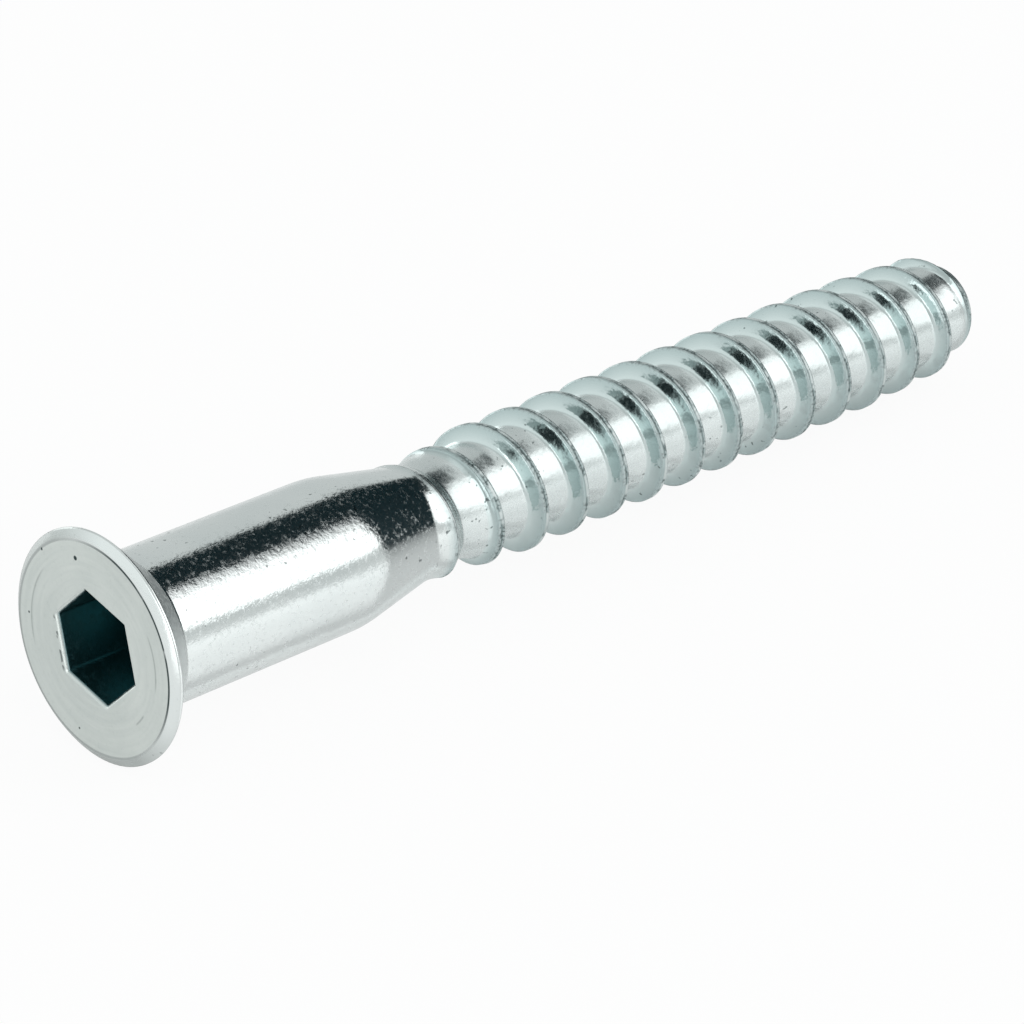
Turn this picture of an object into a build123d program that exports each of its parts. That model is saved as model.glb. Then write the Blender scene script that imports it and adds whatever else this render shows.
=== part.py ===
from build123d import *
from math import atan, degrees, floor, radians, sqrt, tan
import os

# A confirmat screw: a one-piece connecting screw for chipboard, with a countersunk head,
# a hexagon socket, a thick plain shank, a tapered neck and a coarse right-hand rolled thread.
# It is drawn upright round the Z axis, standing on its head, and laid down at the end.
# Sizes are in millimetres, and heights are measured from the head's face.

# Head
length = 50.0
head_diameter = 9.55
face_diameter = 8.45          # the flat of the head's face
rim_drop = 0.14               # how far the sloping border of the face falls before the rim
rim_height = 0.25             # from the face to the rim's back edge
countersink_angle = 90.0      # included angle of the cone under the head

# Hexagon socket
socket_flats = 4.0            # across flats, for a 4 mm key
socket_depth = 3.2
socket_mouth = 0.1            # chamfer round the mouth
socket_point_angle = 120.0    # included angle of the punched bottom
socket_turn = -14.3           # from the side the screw lies on to the nearest corner

# Shank and neck
shank_diameter = 6.35
shank_end = 12.1              # height at which the shank starts to narrow
neck_end = 17.9               # height at which the neck has narrowed to the thread's core
shank_blend = 2.5             # radius of the bend from the shank into the neck

# Thread
core_diameter = 4.12
thread_diameter = 5.87
pitch = 2.365
full_thread_start = 19.67     # height, on the side the screw lies on, where the ridge is full
run_in_turns = 2              # turns over which the ridge rises out of the core
run_out_turns = 3             # turns over which it sinks again, cut short by the tip
run_out_sink = 0.1            # how much it sinks for each millimetre of height
crest_width = 0.24
head_flank_angle = 20.0       # flank that faces the head, from square to the axis
tip_flank_angle = 32.0        # flank that faces the tip, from square to the axis
root_flare = 0.2              # size of the bevel at the foot of each flank
root_bury = 0.25              # how deep the ridge's foot stands in the core

# Tip
tip_face_diameter = 2.4       # the flat of the blunt end
tip_round = 2.2               # radius of the round edge between that flat and the thread

# Sizes that follow
head_radius = head_diameter / 2
face_radius = face_diameter / 2
shank_radius = shank_diameter / 2
core_radius = core_diameter / 2
thread_radius = thread_diameter / 2
cone_end = rim_height + (head_radius - shank_radius) / tan(radians(countersink_angle / 2))
socket_point = socket_flats / 2 / tan(radians(socket_point_angle / 2))

thread_height = thread_radius - core_radius
run_in = run_in_turns * pitch
thread_start = full_thread_start - run_in
full_turns = floor((length - full_thread_start) / pitch) - 1
full_thread_end = full_thread_start + full_turns * pitch
past_tip = full_thread_end + (run_out_turns + 1) * pitch

tip_face_radius = tip_face_diameter / 2
round_edge_radius = tip_face_radius + tip_round
round_edge_start = length - tip_round
core_end = round_edge_start + sqrt(tip_round ** 2 - (core_radius - tip_face_radius) ** 2)

# The ridge's section, from the foot of its head flank over the crest to the foot of its tip flank,
# as points (out from the core, along the screw)
flank_height = thread_height - root_flare
head_foot = crest_width / 2 + flank_height * tan(radians(head_flank_angle))
tip_foot = crest_width / 2 + flank_height * tan(radians(tip_flank_angle))
flare = root_flare + root_bury
ridge_section = (
    (-root_bury, -head_foot - flare),
    (root_flare, -head_foot),
    (thread_height, -crest_width / 2),
    (thread_height, crest_width / 2),
    (root_flare, tip_foot),
    (-root_bury, tip_foot + flare),
)


def ridge(start, turns, rise, full_height):
    """A stretch of the thread's ridge: it rises by a share of its way along the screw, and its
    section stands at its full size at full_height."""
    end = start + turns * pitch
    start_radius = core_radius - rise * (full_height - start)
    with BuildPart() as stretch:
        with BuildLine() as path:
            Helix(pitch, end - start, start_radius, center=(0, 0, start), cone_angle=degrees(atan(rise)))
        with BuildLine() as middle:
            Line((0, 0, start), (0, 0, end))
        with BuildSketch(Plane((core_radius, 0, full_height), x_dir=(1, 0, 0), z_dir=(0, -1, 0))) as section:
            with BuildLine():
                Polyline(ridge_section, close=True)
            make_face()
        sweep(sections=section.sketch, path=path.line, binormal=middle.edge())
    return stretch.part


# The thread rises out of the core, keeps its size, and sinks again towards the tip.
run_in_ridge = ridge(thread_start, run_in_turns, thread_height / run_in, full_thread_start)
full_ridge = ridge(full_thread_start, full_turns, 0, full_thread_start)
sinking_ridge = ridge(full_thread_end, run_out_turns, -run_out_sink, full_thread_end)

# The round edge of the blunt end cuts the sinking ridge off.
with BuildPart() as run_out_ridge:
    add(sinking_ridge)
    with BuildSketch(Plane.XZ):
        with BuildLine():
            RadiusArc((tip_face_radius, length), (round_edge_radius, round_edge_start), tip_round)
            Polyline(
                (round_edge_radius, round_edge_start),
                (head_radius, round_edge_start),
                (head_radius, past_tip),
                (0, past_tip),
                (0, length),
                (tip_face_radius, length),
            )
        make_face()
    revolve(axis=Axis.Z, mode=Mode.SUBTRACT)

with BuildPart() as upright:

    # the turned form, from the head's face to the blunt end
    with BuildSketch(Plane.XZ) as turned:
        with BuildLine():
            Polyline(
                (0, length),
                (0, 0),
                (face_radius, 0),
                (head_radius, rim_drop),
                (head_radius, rim_height),
                (shank_radius, cone_end),
                (shank_radius, shank_end),
                (core_radius, neck_end),
                (core_radius, core_end),
            )
            RadiusArc((core_radius, core_end), (tip_face_radius, length), -tip_round)
            Line((tip_face_radius, length), (0, length))
        make_face()
        bend = turned.vertices().filter_by_position(Axis.Y, shank_end - 0.001, shank_end + 0.001)
        fillet(bend, shank_blend)
    revolve(axis=Axis.Z)

    # the hexagon socket in the head's face, with its punched bottom
    with BuildSketch(Plane.XY):
        RegularPolygon(socket_flats / 2, 6, major_radius=False, rotation=socket_turn)
    extrude(amount=socket_depth, mode=Mode.SUBTRACT)
    with BuildSketch(Plane.XZ):
        with BuildLine():
            Polyline(
                (0, socket_depth),
                (socket_flats / 2, socket_depth),
                (0, socket_depth + socket_point),
                close=True,
            )
        make_face()
    revolve(axis=Axis.Z, mode=Mode.SUBTRACT)
    mouth = upright.faces().sort_by(Axis.Z)[0].inner_wires()[0]
    chamfer(mouth.edges(), socket_mouth)

    # the thread
    add(run_in_ridge)
    add(full_ridge)
    add(run_out_ridge.part)

# Lying at rest, the screw touches the ground with the rim of its head and with the crest where
# the full thread ends. Its head points along -X, and the ground is at z = 0.
rest_lean = degrees(atan((head_radius - thread_radius) / (full_thread_end + crest_width / 2 - rim_height)))
laid = upright.part.rotate(Axis.Y, 90 + rest_lean)
box = laid.bounding_box()

with BuildPart() as confirmat_screw:
    add(laid.moved(Location((-box.center().X, -box.center().Y, -box.min.Z))))

confirmat_screw.part.label = "confirmat_screw"
os.makedirs("parts", exist_ok=True)
export_step(confirmat_screw.part, "parts/confirmat_screw.step")
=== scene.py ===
import math
import bpy
from mathutils import Matrix, Vector


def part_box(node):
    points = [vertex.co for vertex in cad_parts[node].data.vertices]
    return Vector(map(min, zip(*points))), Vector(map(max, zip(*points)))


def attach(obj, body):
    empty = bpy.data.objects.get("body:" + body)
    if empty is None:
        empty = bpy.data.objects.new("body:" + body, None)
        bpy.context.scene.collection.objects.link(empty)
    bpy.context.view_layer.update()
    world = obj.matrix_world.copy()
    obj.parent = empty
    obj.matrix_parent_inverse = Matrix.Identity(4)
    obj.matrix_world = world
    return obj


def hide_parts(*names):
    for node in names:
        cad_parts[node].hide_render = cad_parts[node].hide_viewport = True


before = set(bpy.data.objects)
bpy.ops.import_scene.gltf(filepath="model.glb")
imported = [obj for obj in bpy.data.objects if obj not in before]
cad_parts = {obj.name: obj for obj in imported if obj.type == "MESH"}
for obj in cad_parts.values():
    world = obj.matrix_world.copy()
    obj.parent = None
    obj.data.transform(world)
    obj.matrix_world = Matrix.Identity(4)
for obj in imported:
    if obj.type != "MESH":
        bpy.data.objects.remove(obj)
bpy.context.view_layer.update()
print("frame loaded")

mm = 0.001

head = {
    "radius": 4.77 * mm,
    "faceRadius": 4.31 * mm,       # the flat of the face
    "faceShift": (0.055 * mm, 0.095 * mm),  # how far the flat sits off the middle, side and across
    "grooveDepth": 0.018 * mm,     # the line round the flat
    "grooveHalf": 0.05 * mm,
    "borderLean": (20, 31),        # slope of the border round the flat, where it starts and ends
    "borderSteps": 6,
    "plainSteps": (0.2, 0.4, 0.6, 0.8, 1.0),  # where rings divide the flat and the plain lengths
    "rimBottom": 0.265 * mm,
    "rimRound": 0.02 * mm,
    "coneEnd": 1.85 * mm,
    "coneBlend": 0.08 * mm,
    "edgeRing": 0.03 * mm,         # how far a ring of faces stands off an edge, to keep it crisp
}
socket = {
    "flatsRadius": 2.0 * mm,       # half the width across the flats
    "depth": 3.2 * mm,
    "bottomPoint": 1.15 * mm,
    "mouth": 0.13 * mm,            # chamfer round the mouth
    "turn": math.radians(-14.3),   # from the side the screw lies on to a corner
}
shank = {
    "radius": 3.178 * mm,
    "end": 12.1 * mm,
    "bend": 0.6 * mm,              # length of the bend into the neck, on each side
    "neckEnd": 16.93 * mm,
    "neckRadius": 2.262 * mm,      # where the neck starts to ease into the core
}
thread = {
    "coreRadius": 2.063 * mm,
    "ridgeHeight": 0.86 * mm,
    "pitch": 2.365 * mm,
    "crest": 19.67 * mm,           # a crest's height on the side the screw lies on
    "crestHalf": 0.15 * mm,
    "crestRound": 0.09 * mm,
    "headFlank": 19,               # degrees off square to the axis, on the side towards the head
    "flankStart": 0.3,             # how steep that flank is where the ridge begins, against later
    "flankRise": 1.4,              # and how fast it gets steeper as the ridge rises
    "tipFlank": 27,
    "footRound": 0.26 * mm,
    "valleyLow": -0.12 * mm,       # the valley's floor, against the core, at its lowest
    "valleyLowPlace": 0.7 * mm,    # and how far past the crest that is
    "valleySlope": 0.12,           # it climbs from there at this slope
    "startSlope": 0.75,            # and more steeply where the thread starts
    "valleyRise": 95.0,            # and by this times the distance squared
    "seamDepth": 0.035 * mm,       # the rough seam that rolling leaves along the crest
    "seamHalf": 0.035 * mm,
    "seamScale": 3600.0,           # of the noise that breaks the seam up
    "lumps": 0.022 * mm,
    "lumpScale": 1100.0,
    "crowding": 0.45,              # spacing of the rows at a crest, against an even spacing
    "riseStart": 15.7 * mm,        # where the ridge begins
    "riseEnd": 20.26 * mm,         # and where it has its full height
    "sinkStart": 43.0 * mm,
    "sinkPerLength": 46.0,         # share of its height lost from there for each metre
    "endStart": 48.85 * mm,        # where the ridge runs out
    "endPerLength": 1400.0,
    "from": 15.4 * mm,             # the skin that carries the thread, between the neck and the tip
    "to": 48.9 * mm,
    "rowsPerTurn": 34,
}
tip = {
    "length": 49.985 * mm,
    "faceRadius": 1.2 * mm,
    "round": 2.2 * mm,
    "rows": 40,
    "faceShare": 0.15,             # share of the rows that close the end
}
columns = 144                      # round the screw, a multiple of the socket's six sides

# the screw is drawn upright on its head, then laid down as the solid lies
solidLow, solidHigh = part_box("confirmat_screw")
rest = {
    "lean": math.radians(2.313),
    "faceRadius": 4.475 * mm,      # a little over the flat's edge, to stay in the solid's box
    "rimRadius": 4.775 * mm,       # the rim that lies on the floor
    "rimHeight": 0.25 * mm,
}
facePlace = Vector((
    solidLow.x + rest["faceRadius"] * math.sin(rest["lean"]), 0,
    rest["rimRadius"] * math.cos(rest["lean"]) + rest["rimHeight"] * math.sin(rest["lean"])))
layTurn = (0, math.pi / 2 + rest["lean"], 0)


class Graph:
    def __init__(self, tree):
        self.tree = tree

    def node(self, kind, settings=None, sockets=None):
        made = self.tree.nodes.new(kind)
        for name, value in (settings or {}).items():
            setattr(made, name, value)
        for key, value in (sockets or {}).items():
            self.plug(made.inputs[key], value)
        return made

    def plug(self, target, value):
        if isinstance(value, Field):
            value = value.socket
        if isinstance(value, bpy.types.NodeSocket):
            self.tree.links.new(value, target)
        else:
            target.default_value = value

    def math(self, operation, *values):
        made = self.node("ShaderNodeMath", {"operation": operation}, dict(enumerate(values)))
        return Field(self, made.outputs[0])

    def field(self, kind, settings=None, sockets=None, output=0):
        return Field(self, self.node(kind, settings, sockets).outputs[output])

    def blend(self, share, colour, other):
        made = self.node("ShaderNodeMix", {"data_type": "RGBA"}, {0: share, 6: colour, 7: other})
        return made.outputs[2]


class Field:  # a socket that can be used in sums
    def __init__(self, graph, socket):
        self.graph = graph
        self.socket = socket

    def __add__(self, other):
        return self.graph.math("ADD", self, other)

    def __radd__(self, other):
        return self.graph.math("ADD", other, self)

    def __sub__(self, other):
        return self.graph.math("SUBTRACT", self, other)

    def __rsub__(self, other):
        return self.graph.math("SUBTRACT", other, self)

    def __mul__(self, other):
        return self.graph.math("MULTIPLY", self, other)

    def __rmul__(self, other):
        return self.graph.math("MULTIPLY", other, self)

    def __truediv__(self, other):
        return self.graph.math("DIVIDE", self, other)

    def __rtruediv__(self, other):
        return self.graph.math("DIVIDE", other, self)

    def __pow__(self, other):
        return self.graph.math("POWER", self, other)

    def __abs__(self):
        return self.graph.math("ABSOLUTE", self)

    def atLeast(self, other):
        return self.graph.math("MAXIMUM", self, other)

    def atMost(self, other):
        return self.graph.math("MINIMUM", self, other)

    def unit(self):  # held between 0 and 1
        return self.atLeast(0).atMost(1)

    def ramp(self, low, high):  # 0 at low, 1 at high, straight between
        return ((self - low) / (high - low)).unit()

    def band(self, start, end, edge):  # 1 between start and end, with soft edges
        return self.ramp(start - edge, start + edge) * self.ramp(end + edge, end - edge)


def bendPoints(before, corner, after, reach, steps):
    # a smooth bend at a corner, from reach before it to reach after it
    start = Vector(corner) + (Vector(before) - Vector(corner)).normalized() * reach
    end = Vector(corner) + (Vector(after) - Vector(corner)).normalized() * reach
    mid = Vector(corner)
    points = []
    for i in range(steps + 1):
        t = i / steps
        points.append(tuple((1 - t) ** 2 * start + 2 * t * (1 - t) * mid + t * t * end))
    return points


def hexReach(angle, flatsRadius):
    side = math.radians(60)
    within = (angle - socket["turn"]) % side - side / 2
    return flatsRadius / math.cos(within)


def turnedRings():
    # rings from the socket's bottom over the face and down the shank, each with its radius, its
    # height, how far it is six-sided, and how far it follows the flat's shift
    edge = head["edgeRing"]
    wall, depth, mouth = socket["flatsRadius"], socket["depth"], socket["mouth"]
    rings = [(0, depth + socket["bottomPoint"], False)]
    for t in (0.3, 0.6, 0.85, 1 - edge / wall, 1):
        rings.append((wall * t, depth + socket["bottomPoint"] * (1 - t), False))
    rings += [(wall, depth, True), (wall, depth - edge, True)]
    rings += [(wall, depth - (depth - mouth) * t, True) for t in head["plainSteps"][:-1]]
    rings += [(wall, mouth + edge / 2, True), (wall, mouth, True)]
    rings.append((wall + mouth * 0.5, mouth * 0.42, True))  # the chamfer is slightly rounded
    rings += [(wall + mouth, 0, True), (wall + mouth + edge, 0, True)]
    hexEnd = wall + mouth + edge
    for t in head["plainSteps"]:
        rings.append((hexEnd + (head["faceRadius"] - edge - hexEnd) * t, 0, 1 - t, t))
    grooveHalf, grooveDepth = head["grooveHalf"], head["grooveDepth"]
    rings.append((head["faceRadius"], 0, False, 1))
    rings.append((head["faceRadius"] + grooveHalf, grooveDepth, False, 1))
    radius, rimRound = head["radius"], head["rimRound"]
    borderStart = head["faceRadius"] + 2 * grooveHalf
    first, last = (math.radians(lean) for lean in head["borderLean"])
    arc = (radius - borderStart) / (math.sin(last) - math.sin(first))
    for i in range(head["borderSteps"] + 1):
        lean = first + (last - first) * i / head["borderSteps"]
        reach = borderStart + arc * (math.sin(lean) - math.sin(first))
        rings.append((reach, arc * (math.cos(first) - math.cos(lean)), False,
                      (radius - reach) / (radius - borderStart)))
    coneStart, coneEnd = (radius, head["rimBottom"]), (shank["radius"], head["coneEnd"])
    shankEnd, neckEnd = (shank["radius"], shank["end"]), (shank["neckRadius"], shank["neckEnd"])
    outline = bendPoints((radius, 0), coneStart, coneEnd, rimRound, 4)
    outline += bendPoints(coneStart, coneEnd, shankEnd, head["coneBlend"], 6)
    plainStart, plainEnd = outline[-1][1] + edge, shank["end"] - shank["bend"] - edge
    for t in (0, *head["plainSteps"]):
        outline.append((shank["radius"], plainStart + (plainEnd - plainStart) * t))
    outline += bendPoints(coneEnd, shankEnd, neckEnd, shank["bend"], 12)
    rings += [(r, h, False) for r, h in outline]
    slope = (shank["radius"] - shank["neckRadius"]) / (shank["neckEnd"] - shank["end"])
    bendEnd, steps = outline[-1][1], 8
    for i in range(1, steps + 1):
        height = bendEnd + (thread["from"] - bendEnd) * i / steps
        rings.append((shank["radius"] - slope * (height - shank["end"]), height, False))
    return rings


def turnedMesh():
    angles = [socket["turn"] + math.tau * j / columns for j in range(columns)]
    vertices, faces = [], []
    rings = turnedRings()
    for radius, height, sixSided, *shifted in rings:
        moved = Vector(head["faceShift"]) * (shifted[0] if shifted else 0)
        for angle in angles:
            share = float(sixSided)
            reach = radius * (1 - share) + hexReach(angle, radius) * share if share else radius
            vertices.append((
                reach * math.cos(angle) + moved.x, reach * math.sin(angle) + moved.y, height))
    for i in range(len(rings) - 1):
        for j in range(columns):
            a, b = i * columns + j, i * columns + (j + 1) % columns
            faces.append((a, b, b + columns, a + columns))
    mesh = bpy.data.meshes.new("screw")
    mesh.from_pydata(vertices, [], faces)
    return mesh


def threadTree(material):
    # adds the thread and the tip to the turned part, as one skin whose rows follow the helix
    tree = bpy.data.node_groups.new("rolledThread", "GeometryNodeTree")
    graph = Graph(tree)
    tree.interface.new_socket("Geometry", in_out="INPUT", socket_type="NodeSocketGeometry")
    sizes = {
        "Pitch": thread["pitch"], "Core Radius": thread["coreRadius"],
        "Ridge Height": thread["ridgeHeight"],
        "Crest Place": thread["crest"], "Crest Half": thread["crestHalf"],
        "Crest Round": thread["crestRound"], "Foot Round": thread["footRound"],
        "Head Flank": 1 / math.tan(math.radians(thread["headFlank"])),
        "Tip Flank": 1 / math.tan(math.radians(thread["tipFlank"])),
        "Valley Low": thread["valleyLow"], "Valley Low Place": thread["valleyLowPlace"],
        "Valley Slope": thread["valleySlope"], "Valley Rise": thread["valleyRise"],
        "Start Slope": thread["startSlope"],
        "Seam Depth": thread["seamDepth"], "Seam Half": thread["seamHalf"],
        "Lumps": thread["lumps"], "Crowding": thread["crowding"],
        "Rise Start": thread["riseStart"], "Rise End": thread["riseEnd"],
        "Sink Start": thread["sinkStart"], "Sink": thread["sinkPerLength"],
        "End Start": thread["endStart"], "End Sink": thread["endPerLength"],
        "Neck End": shank["neckEnd"], "Neck Radius": shank["neckRadius"],
        "From": thread["from"], "To": thread["to"],
        "Length": tip["length"], "Tip Face": tip["faceRadius"], "Tip Round": tip["round"],
    }
    for name in sizes:
        tree.interface.new_socket(name, in_out="INPUT", socket_type="NodeSocketFloat")
    tree.interface.new_socket("Geometry", in_out="OUTPUT", socket_type="NodeSocketGeometry")
    given = graph.node("NodeGroupInput")
    size = {name: Field(graph, given.outputs[name]) for name in sizes}

    def placeAt(angle, radius, height):
        return graph.node("ShaderNodeCombineXYZ", sockets={
            0: graph.math("COSINE", angle) * radius, 1: graph.math("SINE", angle) * radius,
            2: height}).outputs[0]

    def skin(rows, columnsAround, shape):
        grid = graph.node("GeometryNodeMeshGrid", sockets={
            "Size X": 1.0, "Size Y": 1.0, "Vertices X": columnsAround + 1, "Vertices Y": rows + 1})
        place = graph.node("ShaderNodeSeparateXYZ", sockets={
            0: graph.field("GeometryNodeInputPosition")})
        turn = Field(graph, place.outputs[0]) + 0.5
        way = Field(graph, place.outputs[1]) + 0.5
        angle = turn * math.tau + socket["turn"]
        radius, height = shape(turn, way)
        return graph.field("GeometryNodeSetPosition", sockets={
            "Geometry": grid.outputs["Mesh"], "Position": placeAt(angle, radius, height)})

    def surfaceRadius(turn, height):
        # the core, which the neck eases into
        slope = (shank["radius"] - shank["neckRadius"]) / (shank["neckEnd"] - shank["end"])
        narrowing = size["Neck Radius"] - size["Core Radius"]
        ease = ((height - size["Neck End"]) / (narrowing * (2 / slope))).unit()
        straight = size["Neck Radius"] - (height - size["Neck End"]) * slope
        eased = size["Core Radius"] + narrowing * (1 - ease) ** 2
        core = graph.math("GREATER_THAN", height, size["Neck End"])
        base = core * eased + (1 - core) * straight
        # the ridge, by its distance from the crest along the screw
        turned = turn + socket["turn"] / math.tau
        off = graph.math("WRAP", height - size["Crest Place"] - turned * size["Pitch"],
                         size["Pitch"] / 2, size["Pitch"] * -0.5)
        onTip = graph.math("GREATER_THAN", off, 0.0)
        rise = ((height - size["Rise Start"]) / (size["Rise End"] - size["Rise Start"])).unit()
        steeper = (thread["flankStart"] + rise * thread["flankRise"]).atMost(1)
        steep = onTip * size["Tip Flank"] + (1 - onTip) * size["Head Flank"] * steeper
        ridge = size["Ridge Height"] + (size["Crest Half"] - abs(off)) * steep
        ridge = graph.math("SMOOTH_MIN", ridge, size["Ridge Height"], size["Crest Round"])
        past = graph.math("WRAP", off, size["Pitch"], 0.0) - size["Valley Low Place"]
        past = past.atLeast(0)
        slant = size["Valley Slope"] + (1 - rise) * size["Start Slope"]
        valley = size["Valley Low"] + past * slant + past * past * size["Valley Rise"]
        above = graph.math("SMOOTH_MAX", ridge - valley, 0.0, size["Foot Round"])
        # unevenness of the rolled metal
        angle = turn * math.tau + socket["turn"]
        place = placeAt(angle, thread["coreRadius"], height)
        ragged = graph.field("ShaderNodeTexNoise", sockets={
            "Vector": place, "Scale": thread["seamScale"], "Detail": 2.0})
        lumpy = graph.field("ShaderNodeTexNoise", sockets={
            "Vector": place, "Scale": thread["lumpScale"], "Detail": 1.0})
        seam = graph.math("POWER", 0.5, (off / size["Seam Half"]) ** 2) * ragged.ramp(0.36, 0.62)
        form = valley + above - seam * size["Seam Depth"] - lumpy * size["Lumps"]
        left = (1 - (height - size["Sink Start"]) * size["Sink"]).unit()
        left = left * (1 - (height - size["End Start"]) * size["End Sink"]).unit()
        return base + form * rise * left

    def threadShape(turn, way):
        # rows follow the helix and crowd together at the crests
        turns = threadRows / thread["rowsPerTurn"]
        turned = turn + socket["turn"] / math.tau
        first = (size["From"] - size["Crest Place"]) / size["Pitch"] - 1 - socket["turn"] / math.tau
        even = way * turns + first
        within = graph.math("WRAP", even, 0.5, -0.5)
        crowded = within * size["Crowding"] + within * within * within * 4 * (1 - size["Crowding"])
        height = size["Crest Place"] + size["Pitch"] * (even - within + crowded + turned)
        height = height.atLeast(size["From"]).atMost(size["To"])
        return surfaceRadius(turn, height), height

    def tipShape(turn, way):
        centre = size["Length"] - size["Tip Round"]
        start = graph.math("ARCSINE", (size["To"] - centre) / size["Tip Round"])
        share = (way / (1 - tip["faceShare"])).unit()
        angle = start + (math.pi / 2 - start) * share
        height = centre + size["Tip Round"] * graph.math("SINE", angle)
        arc = size["Tip Face"] + size["Tip Round"] * graph.math("COSINE", angle)
        closing = ((1 - way) / tip["faceShare"]).unit()
        return arc.atMost(surfaceRadius(turn, height)) * closing, height

    span = thread["to"] - thread["from"]
    threadRows = math.ceil(span / thread["pitch"] + 2) * thread["rowsPerTurn"]
    threadSkin = skin(threadRows, columns, threadShape)
    tipSkin = skin(tip["rows"], columns, tipShape)
    joined = graph.node("GeometryNodeJoinGeometry")
    for part in (given.outputs["Geometry"], threadSkin.socket, tipSkin.socket):
        tree.links.new(part, joined.inputs[0])
    welded = graph.field("GeometryNodeMergeByDistance", sockets={
        "Geometry": joined.outputs[0], "Distance": 0.001 * mm})
    smooth = graph.field("GeometryNodeSetShadeSmooth", sockets={"Geometry": welded})
    real = graph.field("GeometryNodeRealizeInstances", sockets={"Geometry": smooth})
    dressed = graph.field("GeometryNodeSetMaterial", sockets={
        "Geometry": real, "Material": material})
    graph.node("NodeGroupOutput", sockets={0: dressed})
    return tree, sizes


def makeScrew(material):
    draft = bpy.data.objects.new("screwDraft", turnedMesh())
    bpy.context.scene.collection.objects.link(draft)
    tree, sizes = threadTree(material)
    modifier = draft.modifiers.new("thread", "NODES")
    modifier.node_group = tree
    inputs = (item for item in tree.interface.items_tree if item.in_out == "INPUT")
    identifiers = {item.name: item.identifier for item in inputs}
    for name, value in sizes.items():
        modifier[identifiers[name]] = value
    depsgraph = bpy.context.evaluated_depsgraph_get()
    mesh = bpy.data.meshes.new_from_object(draft.evaluated_get(depsgraph))
    bpy.data.objects.remove(draft)
    lay = Matrix.Rotation(layTurn[1], 4, "Y")
    mesh.transform(Matrix.Translation(facePlace) @ lay)
    mesh.materials.clear()
    mesh.materials.append(material)
    screw = bpy.data.objects.new("zinc_screw", mesh)
    bpy.context.scene.collection.objects.link(screw)
    print("screw made:", len(mesh.vertices), "vertices")
    return screw


zinc = {
    "bright": (0.785, 0.82, 0.812, 1),
    "dull": (0.73, 0.772, 0.768, 1),
    # border: painted shade on the border round the flat, away from its painted highlight
    "border": (0.48, 0.51, 0.50, 1),
    "thread": (0.72, 0.765, 0.76, 1),
    "threadDull": (0.64, 0.69, 0.685, 1),
    "face": (0.67, 0.705, 0.68, 1),
    "faceDull": (0.58, 0.62, 0.60, 1),
    # painted shade and reflection on the thread's flanks: darker, teal tones
    "flank": (0.64, 0.72, 0.715, 1),
    "flankTop": (0.45, 0.54, 0.54, 1),  # painted shade, darkest just under the crest
    "backFlankShade": (0.52, 0.60, 0.595, 1),
    "crest": (0.50, 0.57, 0.57, 1),
    "seam": (0.24, 0.30, 0.30, 1),
    # painted shade inside the deep socket, near-black teal
    "socket": (0.075, 0.19, 0.205, 1),
    # dark colour of dirt, and of the painted dark reflection in the line round the face
    "dirtAndReflectionColour": (0.03, 0.05, 0.05, 1),
    "roughness": 0.13,
    "roughSpots": 0.23,            # how much rougher the dull spots are
    "faceRoughness": 0.30,
    "coneRoughness": 0.5,
    "threadRoughness": 0.27,
    "crestRoughness": 0.48,
    "tipRoughness": 0.55,
    "socketRoughness": 0.35,
    # sizes of the noises, from coarse to fine
    "patchScale": 260.0,
    "smudgeScale": 1300.0,
    "waveScale": 1500.0,
    "speckScale": 4200.0,
    "turnedScale": 5200.0,         # the lines that turning leaves on the face
    "grainScale": 5600.0,
    "fineSpeckScale": 8600.0,
    # parts of the thread, from its crest along the screw: start, end and softness of the edges
    "flankBand": (-0.45 * mm, -0.02 * mm, 0.05 * mm),
    "backFlankBand": (0.12 * mm, 0.75 * mm, 0.06 * mm),
    "crestBand": (-0.15 * mm, 0.15 * mm, 0.05 * mm),
    "seamBand": (-0.035 * mm, 0.035 * mm, 0.02 * mm),
    # where the painted shade just under the crest fades in
    "flankTopStart": -0.36 * mm,
    "flankTopEnd": -0.16 * mm,
    # how high the relief stands, and how much weaker the grain is in some places
    "relief": 0.009 * mm,
    "waveRelief": 0.5,
    "threadRelief": 1.0,
    "crestRelief": 1.7,
    "lessOnThread": 0.75,
    "lessOnNeck": 0.55,
    "lessOnFace": 0.85,
    # pits in the face: side and across, and radius, in mm
    "pits": [(-3.45, 1.05, 0.10), (-3.1, 3.05, 0.06), (-0.1, 3.9, 0.05), (3.8, 1.0, 0.05)],
    "pitEdge": 0.03,
    # scratches round the face: radius in mm, then middle and half length in degrees
    "arcs": [(3.52, -101, 20), (3.3, -52, 7), (3.75, 100, 30)],
    "arcHalf": 0.03,
    "arcDirt": 0.35,
    "paintedReflectionWay": -122,               # the painted dark reflection in the line round the face, and the painted highlight on its border, are strongest here, in degrees
    "lineDarkening": (0.12, 0.85),      # darker in it everywhere, and a painted dark reflection added there
    "chipHalf": 1.0 * mm,          # half the length of the chipped edge of the socket
    "chipDirt": 0.7,
}


def newMaterial(name):
    material = bpy.data.materials.new(name)
    material.use_nodes = True
    material.node_tree.nodes.clear()
    return material, Graph(material.node_tree)


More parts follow.
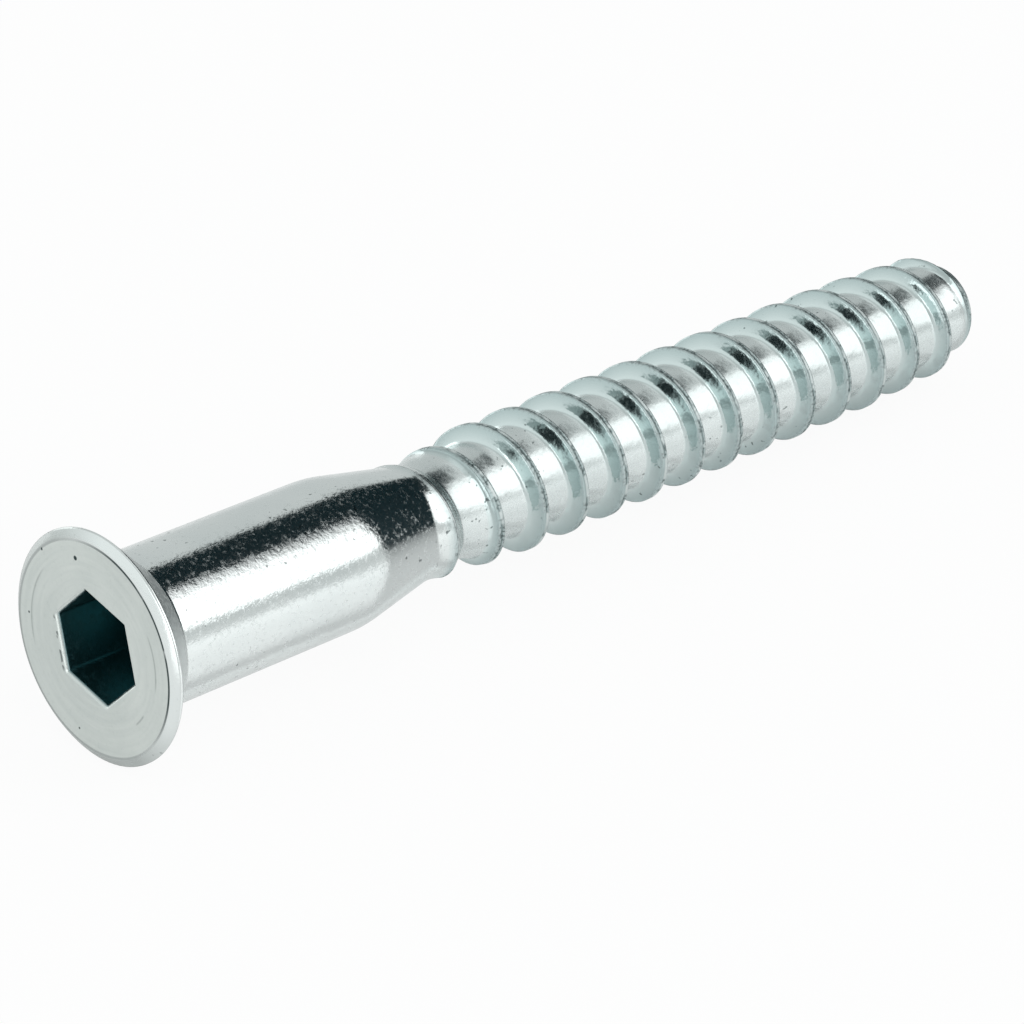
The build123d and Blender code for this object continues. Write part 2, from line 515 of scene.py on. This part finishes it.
def zincMaterial():
    material, graph = newMaterial("zincPlating")
    where = graph.node("ShaderNodeTexCoord").outputs["Object"]

    def noise(name, detail=2.0, roughness=0.5, place=where):
        return graph.field("ShaderNodeTexNoise", sockets={
            "Vector": place, "Scale": zinc[name + "Scale"], "Detail": detail,
            "Roughness": roughness})

    def reach(x, y):
        return (x * x + y * y) ** 0.5

    # the screw's own directions: along it from the face, out from its axis, and round it
    upright = graph.node("ShaderNodeMapping", {"vector_type": "TEXTURE"}, {
        "Vector": where, "Location": facePlace, "Rotation": layTurn})
    parts = graph.node("ShaderNodeSeparateXYZ", sockets={0: upright.outputs[0]})
    side, across, along = (Field(graph, output) for output in parts.outputs)
    out = reach(side, across)
    turned = graph.math("ARCTAN2", across, side) / math.tau
    off = graph.math("WRAP", along - thread["crest"] - turned * thread["pitch"],
                     thread["pitch"] / 2, -thread["pitch"] / 2)

    def towards(angle):  # 1 at this angle round the screw, -1 opposite
        return graph.math("COSINE", turned * math.tau - math.radians(angle))

    patches = noise("patch", 4.0)
    waves = noise("wave")
    grain = noise("grain", 3.0, 0.6)
    specks = noise("speck", 1.0)
    fineSpecks = noise("fineSpeck", 1.0)
    lightPatches = patches.ramp(0.35, 0.65)

    # parts of the head
    inSocket = along.ramp(0.06 * mm, 0.14 * mm) * along.ramp(6 * mm, 5.9 * mm) * out.ramp(
        2.6 * mm, 2.5 * mm)
    onFace = along.ramp(0.2 * mm, 0)
    shiftSide, shiftAcross = head["faceShift"]
    fromFlat = reach(side - shiftSide, across - shiftAcross) - head["faceRadius"]
    onBorder = fromFlat.band(0.02 * mm, 1.0 * mm, 0.02 * mm) * along.ramp(0.5 * mm, 0.4 * mm)
    # the side where the line carries a painted dark reflection and the border a painted highlight
    paintedReflectionSide = towards(zinc["paintedReflectionWay"])
    # a painted highlight on one side of the border, with painted shade elsewhere
    borderPaintedHighlight = onBorder * paintedReflectionSide.ramp(0, 0.6)
    onCone = along.band(head["rimBottom"], head["coneEnd"], 0.03 * mm) * out.ramp(
        3.19 * mm, 3.23 * mm)

    # parts of the neck, the thread and the tip
    riseStart = thread["riseStart"]
    onNeck = along.band(shank["end"] + 0.6 * mm, riseStart + 0.6 * mm, 0.6 * mm)
    onThread = along.ramp(riseStart, riseStart + 1.5 * mm)
    onRidge = onThread * out.ramp(1.5 * mm, 1.85 * mm)
    onFlank = off.band(*zinc["flankBand"]) * onRidge
    onBackFlank = off.band(*zinc["backFlankBand"]) * onRidge * along.ramp(
        riseStart + 2.0 * mm, riseStart + 4.5 * mm)
    onCrest = off.band(*zinc["crestBand"]) * onRidge
    onSeam = off.band(*zinc["seamBand"]) * onRidge * waves.ramp(0.43, 0.53)
    inValley = onThread * (1 - onFlank) * (1 - onBackFlank)
    onTip = along.ramp(49.1 * mm, 49.5 * mm)
    scuffed = onCrest * waves.ramp(0.42, 0.54)

    # darkening in the line round the face, with a painted dark reflection on one side, and dirt in
    # its pits and scratches and on the chipped edge of the socket
    inLine = fromFlat.band(0, 2 * head["grooveHalf"], 0.015 * mm) * along.ramp(0.12 * mm, 0.1 * mm)
    always, paintedReflectionShare = zinc["lineDarkening"]
    marksAndPaintedReflection = inLine * (always + paintedReflectionSide.ramp(0.3, 0.75) * noise("smudge").ramp(0.25, 0.4) * paintedReflectionShare)
    for pitSide, pitAcross, radius in zinc["pits"]:
        away = reach(side - pitSide * mm, across - pitAcross * mm) + grain * (0.04 * mm)
        marksAndPaintedReflection = marksAndPaintedReflection + away.ramp((radius + zinc["pitEdge"]) * mm, radius * mm) * onFace
    for radius, middle, half in zinc["arcs"]:
        ends = [math.cos(math.radians(half * share)) for share in (1, 0.6)]
        wide = zinc["arcHalf"]
        line = out.band((radius - wide) * mm, (radius + wide) * mm, wide * mm)
        marksAndPaintedReflection = marksAndPaintedReflection + line * towards(middle).ramp(*ends) * onFace * zinc["arcDirt"]
    chipWay = socket["turn"] + math.radians(90)
    fromAxis = side * math.cos(chipWay) + across * math.sin(chipWay)
    fromMouth = fromAxis - socket["flatsRadius"] - socket["mouth"]
    alongEdge = abs(side * math.sin(chipWay) - across * math.cos(chipWay))
    onChips = fromMouth.band(0.02 * mm, 0.14 * mm, 0.02 * mm) * alongEdge.ramp(
        zinc["chipHalf"] * 1.2, zinc["chipHalf"])
    marksAndPaintedReflection = marksAndPaintedReflection + onChips * specks.ramp(0.48, 0.56) * onFace * zinc["chipDirt"]
    dots = specks.ramp(0.70, 0.74) * patches.ramp(0.5, 0.56) * (1 - onFace)
    dirtAndPaintedReflection = (scuffed * fineSpecks.ramp(0.50, 0.62) * 0.6 + marksAndPaintedReflection + dots * 0.7).unit()

    # colour
    circling = graph.node("ShaderNodeCombineXYZ", sockets={
        0: out, 1: towards(0) * (0.25 * mm), 2: towards(90) * (0.25 * mm)}).outputs[0]
    turnedLines = noise("turned", 3.0, place=circling)
    faceShade = (turnedLines * 0.4 + patches * 0.6).ramp(0.36, 0.62)
    flankHeight = off.ramp(zinc["flankTopStart"], zinc["flankTopEnd"])
    threadTone = graph.blend(lightPatches, zinc["threadDull"], zinc["thread"])
    tone = graph.blend(lightPatches * (1 - onCone) + onCone, zinc["dull"], zinc["bright"])
    for share, colour in (
            (onThread, threadTone),
            # painted shade and reflection on the flanks, darker and teal
            (onFlank, graph.blend(flankHeight, zinc["flank"], zinc["flankTop"])),
            (onBackFlank, zinc["backFlankShade"]),
            (scuffed, zinc["crest"]),
            (onSeam, zinc["seam"]),
            (onFace, graph.blend(faceShade, zinc["faceDull"], zinc["face"])),
            # painted highlight and painted shade on the border round the flat
            (onBorder, graph.blend(borderPaintedHighlight, zinc["border"], zinc["bright"])),
            # painted shade inside the socket
            (inSocket, zinc["socket"]),
            # dirt, and the painted dark reflection in the line round the face
            (dirtAndPaintedReflection, zinc["dirtAndReflectionColour"])):
        tone = graph.blend(share, tone, colour)

    # gloss
    plain = zinc["roughness"]
    spots = grain.ramp(0.52, 0.70) * (1 - onThread * 0.6) * (1 - onBorder)
    roughness = plain + spots * zinc["roughSpots"]
    for share, there, usual in (
            (onCone, zinc["coneRoughness"], plain),
            (onFace * (1 - borderPaintedHighlight), zinc["faceRoughness"], plain),
            (inValley, zinc["threadRoughness"], plain),
            (onCrest, zinc["crestRoughness"], plain),
            (onTip, zinc["tipRoughness"], zinc["threadRoughness"]),
            (inSocket, zinc["socketRoughness"], plain)):
        roughness = roughness + share * (there - usual)

    # relief
    fine = grain * (1 - onThread * zinc["lessOnThread"]) * (1 - onNeck * zinc["lessOnNeck"])
    relief = fine + waves * zinc["waveRelief"]
    relief = relief * (1 - onFace * zinc["lessOnFace"]) * (1 - onCone)
    relief = relief + specks * (onThread * zinc["threadRelief"] + onCrest * zinc["crestRelief"])
    bump = graph.node("ShaderNodeBump", sockets={
        "Strength": 1.0, "Distance": zinc["relief"], "Height": relief})
    shader = graph.node("ShaderNodeBsdfPrincipled", sockets={
        "Base Color": tone, "Metallic": 1.0, "Roughness": roughness, "Normal": bump.outputs[0]})
    graph.node("ShaderNodeOutputMaterial", sockets={"Surface": shader.outputs[0]})
    return material


def plainMaterial(name, colour):
    material, graph = newMaterial(name)
    shader = graph.node("ShaderNodeBsdfDiffuse", sockets={"Color": colour})
    graph.node("ShaderNodeOutputMaterial", sockets={"Surface": shader.outputs[0]})
    return material


def floorMaterial():
    material, graph = newMaterial("paleFloor")
    paper = graph.node("ShaderNodeBsdfDiffuse", sockets={"Color": stage["floorPaper"]})
    white = graph.node("ShaderNodeEmission", sockets={"Color": stage["white"], "Strength": 1.0})
    sheen = graph.node("ShaderNodeBsdfAnisotropic", sockets={
        "Color": stage["white"], "Roughness": stage["floorRoughness"]})
    path = graph.node("ShaderNodeLightPath").outputs
    seen, glossy, through = (Field(graph, path[name]) for name in (
        "Is Camera Ray", "Is Glossy Ray", "Is Transmission Ray"))
    mirrored = glossy.atLeast(through)

    def mix(share, shader, other):
        return graph.node("ShaderNodeMixShader", sockets={0: share, 1: shader, 2: other}).outputs[0]

    own = seen * stage["floorWhite"] + mirrored * stage["floorMirrored"]
    facing = graph.field("ShaderNodeLayerWeight", sockets={"Blend": 0.5}, output=1)
    gloss = stage["floorSheen"] + facing ** 4 * stage["floorGrazing"]
    surface = mix(mirrored * gloss, mix(own, paper.outputs[0], white.outputs[0]), sheen.outputs[0])
    graph.node("ShaderNodeOutputMaterial", sockets={"Surface": surface})
    return material


stage = {
    "floorSize": 4.0,
    "floorDrop": 0.01 * mm,        # keeps the floor just clear of the screw
    "floorPaper": (0.9, 0.9, 0.9, 1),
    "floorRoughness": 0.1,
    "floorWhite": 0.92,            # how much of the floor's white is its own, as the camera sees it
    "floorMirrored": 0.45,         # and as metal mirrors it
    "floorSheen": 0.2,             # how much of the floor that metal mirrors is gloss
    "floorGrazing": 0.62,          # and how much more of it is at a grazing look
    "white": (1, 1, 1, 1),
    "worldGrey": 0.67,
    "overheadMore": 0.2,           # the room is this much brighter overhead
    "leftMore": 0.3,               # and on the left
    "leftWay": 150,
    "roomTint": (0.955, 1.0, 0.995, 1),
    "cardDistance": 0.5,
    "softboxes": {  # way, height and size in degrees, as the screw sees them
        "sideSoftbox": {
            "azimuth": -78.5, "elevation": 32.5, "width": 76, "height": 53.2, "roll": 10.5,
            "radiance": 0.95},
        "frontSoftbox": {
            "azimuth": -170, "elevation": 5, "width": 34, "height": 26, "roll": 0,
            "radiance": 1.15},
        "backFill": {
            "azimuth": 88, "elevation": 12, "width": 50, "height": 20, "roll": 0,
            "radiance": 0.8},
    },
    "darkPanel": {"azimuth": -4, "width": 66, "top": 70, "colour": (0.006, 0.017, 0.021, 1)},
}
camera = {
    "lens": 144.56,
    "sensor": 36,
    "azimuth": 44.86,              # of the view, from +X towards +Y
    "drop": 27.43,                 # of the view, below level
    "faceRight": -15.76 * mm,      # the head face's centre, from the camera
    "faceUp": -5.18 * mm,
    "faceAhead": 155.30 * mm,
}


def direction(azimuth, elevation):
    a, e = math.radians(azimuth), math.radians(elevation)
    return Vector((math.cos(a) * math.cos(e), math.sin(a) * math.cos(e), math.sin(e)))


def cardSize(card, distance):
    return [2 * distance * math.tan(math.radians(card[side] / 2)) for side in ("width", "height")]


def makeSoftbox(name, card):
    way = direction(card["azimuth"], card["elevation"])
    light = bpy.data.lights.new(name, "AREA")
    light.shape = "RECTANGLE"
    light.size, light.size_y = cardSize(card, stage["cardDistance"])
    light.energy = card["radiance"] * math.pi * light.size * light.size_y
    lamp = bpy.data.objects.new(name, light)
    lamp.location = way * stage["cardDistance"]
    roll = Matrix.Rotation(math.radians(card["roll"]), 4, "Z")
    lamp.rotation_euler = (way.to_track_quat("Z", "Y").to_matrix().to_4x4() @ roll).to_euler()
    bpy.context.scene.collection.objects.link(lamp)


def makeDarkPanel(name, card):
    # stands on the floor and shows only as a dark streak in the metal
    way = direction(card["azimuth"], 0)
    distance = stage["cardDistance"]
    side = Vector((-way.y, way.x, 0)) * distance * math.tan(math.radians(card["width"] / 2))
    foot, top = way * distance, Vector((0, 0, distance * math.tan(math.radians(card["top"]))))
    mesh = bpy.data.meshes.new(name)
    corners = [foot - side, foot + side, foot + side + top, foot - side + top]
    mesh.from_pydata(corners, [], [(0, 1, 2, 3)])
    mesh.materials.append(plainMaterial(name, card["colour"]))
    panel = bpy.data.objects.new(name, mesh)
    panel.visible_camera = False
    panel.visible_diffuse = False
    panel.visible_shadow = False
    bpy.context.scene.collection.objects.link(panel)


def makeFloor():
    half = stage["floorSize"] / 2
    mesh = bpy.data.meshes.new("floor")
    corners = [(-half, -half, 0), (half, -half, 0), (half, half, 0), (-half, half, 0)]
    mesh.from_pydata(corners, [], [(0, 1, 2, 3)])
    mesh.materials.append(floorMaterial())
    floor = bpy.data.objects.new("floor", mesh)
    floor.location.z = -stage["floorDrop"]
    bpy.context.scene.collection.objects.link(floor)


def makeWorld():
    world = bpy.data.worlds.new("studio")
    bpy.context.scene.world = world
    world.use_nodes = True
    world.node_tree.nodes.clear()
    graph = Graph(world.node_tree)
    seen = Field(graph, graph.node("ShaderNodeLightPath").outputs["Is Camera Ray"])
    way = graph.node("ShaderNodeSeparateXYZ", sockets={
        0: graph.node("ShaderNodeTexCoord").outputs["Generated"]})
    ahead, aside, above = (Field(graph, output) for output in way.outputs)
    left = direction(stage["leftWay"], 0)
    toLeft = (ahead * left.x + aside * left.y).ramp(0.45, 0.75)
    overhead = above.ramp(0.90, 0.98)
    grey = stage["worldGrey"] + overhead * stage["overheadMore"] + toLeft * stage["leftMore"]
    room = graph.node("ShaderNodeBackground", sockets={
        "Color": graph.blend(seen, stage["roomTint"], stage["white"]),
        "Strength": seen + (1 - seen) * grey})
    graph.node("ShaderNodeOutputWorld", sockets={"Surface": room.outputs[0]})


def makeCamera():
    data = bpy.data.cameras.new("camera")
    data.lens = camera["lens"]
    data.sensor_width = camera["sensor"]
    data.clip_start, data.clip_end = 0.01, 20
    view = direction(camera["azimuth"], -camera["drop"])
    right = view.cross(Vector((0, 0, 1))).normalized()
    up = right.cross(view)
    eye = bpy.data.objects.new("camera", data)
    eye.location = facePlace - (
        right * camera["faceRight"] + up * camera["faceUp"] + view * camera["faceAhead"])
    eye.rotation_euler = view.to_track_quat("-Z", "Y").to_euler()
    bpy.context.scene.collection.objects.link(eye)
    bpy.context.scene.camera = eye


makeCamera()
makeWorld()
makeFloor()
for name, card in stage["softboxes"].items():
    makeSoftbox(name, card)
makeDarkPanel("darkPanel", stage["darkPanel"])
print("studio ready")

screw = makeScrew(zincMaterial())
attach(screw, "root")
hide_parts("confirmat_screw")

bpy.context.scene.view_settings.view_transform = "Standard"
